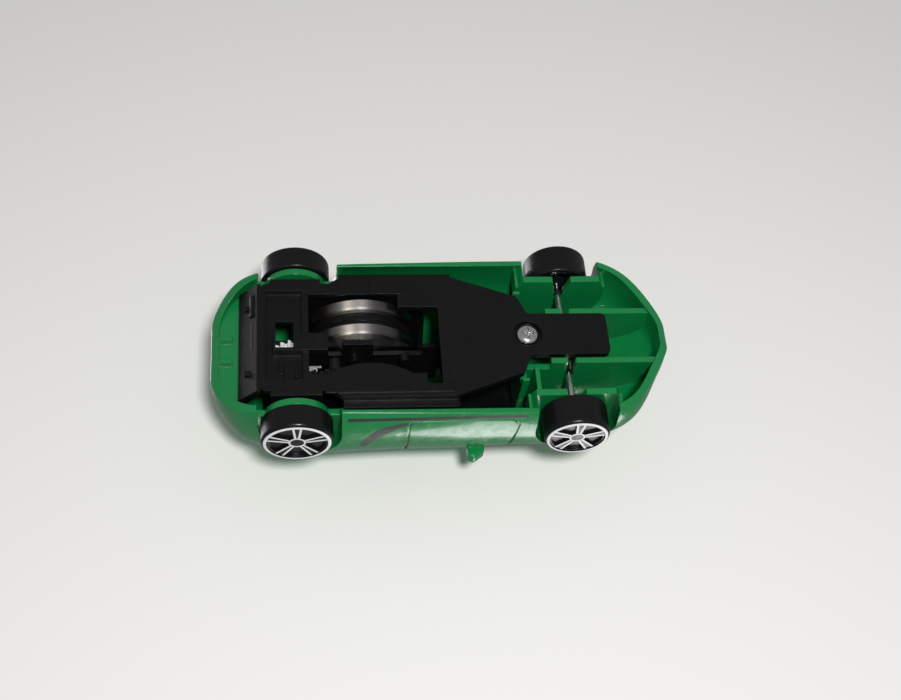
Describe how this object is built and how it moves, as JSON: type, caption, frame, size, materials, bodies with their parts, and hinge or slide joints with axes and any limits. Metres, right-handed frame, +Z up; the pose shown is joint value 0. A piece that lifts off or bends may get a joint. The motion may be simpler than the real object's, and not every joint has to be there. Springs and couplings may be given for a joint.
{
  "type": "toy car",
  "caption": "Palm-sized friction-motor toy coupe with moulded body, tinted glazing, chassis, steel axles, gear train and twin-disc flywheel",
  "frame": {"origin": "on the ground, under the centre of the car's bounding box", "axes": "+X to the front of the car, +Y to its left, +Z up"},
  "size_m": [0.0738, 0.034, 0.0247],
  "materials": {
    "body_plastic": "gloss green moulded ABS",
    "tinted_window": "dark smoke-tinted clear polystyrene",
    "chassis_plastic": "black moulded ABS, satin",
    "hub_plastic": "black moulded acetal",
    "gear_plastic": "black acetal",
    "white_gear_plastic": "natural white nylon",
    "wheel_plastic": "black moulded plastic, white printed spokes",
    "plated_steel": "bright zinc-plated steel",
    "turned_steel": "turned bare steel, slightly darkened"
  },
  "bodies": {
    "root": {"body_shell": "body_plastic", "window_insert_front": "tinted_window", "window_insert_rear": "tinted_window", "chassis": "chassis_plastic", "chassis_screw": "plated_steel", "motor_plate_middle": "chassis_plastic", "motor_plate_right": "chassis_plastic", "gear_cover": "chassis_plastic", "first_gear_pin": "plated_steel", "second_gear_pin": "plated_steel"},
    "flywheel": {"flywheel_disc_left": "turned_steel", "flywheel_disc_right": "turned_steel", "flywheel_hub": "hub_plastic", "flywheel_shaft": "plated_steel", "flywheel_pinion": "gear_plastic"},
    "second_gear": {"second_counter_gear": "gear_plastic"},
    "first_gear": {"first_counter_gear": "gear_plastic"},
    "rear_wheels": {"rear_axle": "plated_steel", "rear_axle_gear": "white_gear_plastic", "rear_wheel_left": "wheel_plastic", "rear_wheel_right": "wheel_plastic"},
    "front_wheels": {"front_axle": "plated_steel", "front_wheel_left": "wheel_plastic", "front_wheel_right": "wheel_plastic"}
  },
  "joints": [
    {"name": "flywheel_spin", "type": "hinge", "parent": "root", "child": "flywheel", "pos_m": [-0.0128, 0, 0.0116], "axis": [0, 1, 0], "continuous": true},
    {"name": "second_gear_spin", "type": "hinge", "parent": "root", "child": "second_gear", "pos_m": [-0.01719, 0, 0.00812], "axis": [0, 1, 0], "continuous": true},
    {"name": "first_gear_spin", "type": "hinge", "parent": "root", "child": "first_gear", "pos_m": [-0.02195, 0, 0.01106], "axis": [0, 1, 0], "continuous": true},
    {"name": "rear_wheel_spin", "type": "hinge", "parent": "root", "child": "rear_wheels", "pos_m": [-0.0234, 0, 0.00565], "axis": [0, 1, 0], "continuous": true},
    {"name": "front_wheel_spin", "type": "hinge", "parent": "root", "child": "front_wheels", "pos_m": [0.0206, 0, 0.00525], "axis": [0, 1, 0], "continuous": true}
  ],
  "couplings": [
    {"joint": "second_gear_spin", "follows": "flywheel_spin", "ratio": -0.4},
    {"joint": "first_gear_spin", "follows": "flywheel_spin", "ratio": 0.16},
    {"joint": "rear_wheel_spin", "follows": "flywheel_spin", "ratio": -0.064}
  ]
}
